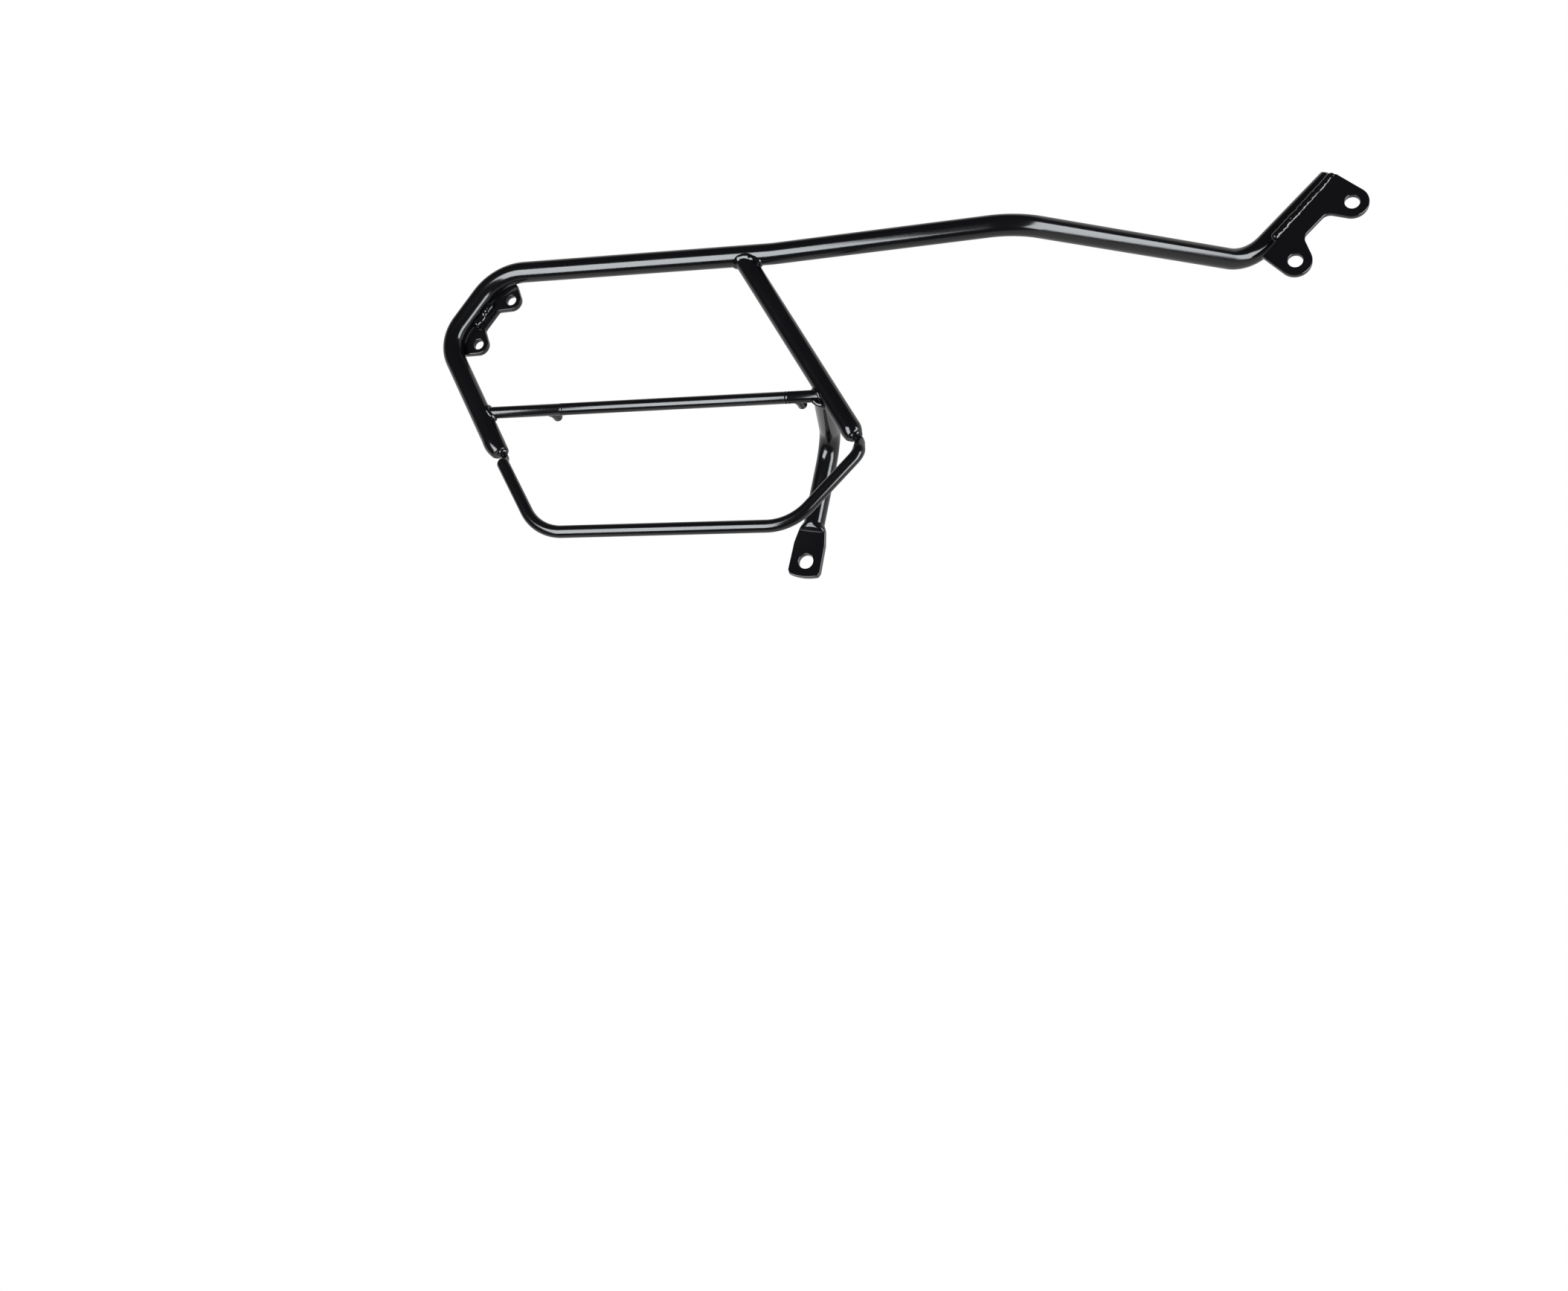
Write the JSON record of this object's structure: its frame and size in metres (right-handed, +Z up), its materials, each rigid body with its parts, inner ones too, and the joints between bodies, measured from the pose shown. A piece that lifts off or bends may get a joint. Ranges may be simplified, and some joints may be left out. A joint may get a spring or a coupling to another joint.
{
  "type": "pannier frame",
  "caption": "Side carrier of a motorbike pannier frame: a bent black tube with a strut, cross rod, lower hoop, drilled stay and bolt-on brackets.",
  "frame": {"origin": "centre of the front bracket's lower bolt hole, in the middle of the plate", "axes": "+X forward along the rail, +Y inward to the bike, +Z up; the outer side faces -Y"},
  "size_m": [0.7767, 0.1734, 0.3769],
  "materials": {
    "black_coat": "gloss",
    "weld_coat": "gloss"
  },
  "bodies": {
    "root": {"main_rail": "black_coat", "strut": "black_coat", "cross_rod": "black_coat", "hoop": "black_coat", "stay": "black_coat", "front_bracket": "black_coat", "rear_bracket": "black_coat", "front_end_cap": "black_coat", "peg_rear": "black_coat", "peg_front": "black_coat", "weld_strut_top": "weld_coat", "weld_rod_rear": "weld_coat", "weld_rod_front": "weld_coat", "weld_stay": "weld_coat", "weld_front_bracket": "weld_coat", "weld_rear_bracket": "weld_coat", "weld_hoop_rear": "weld_coat", "weld_hoop_front": "weld_coat", "weld_peg_rear": "weld_coat", "weld_peg_front": "weld_coat"}
  },
  "joints": []
}
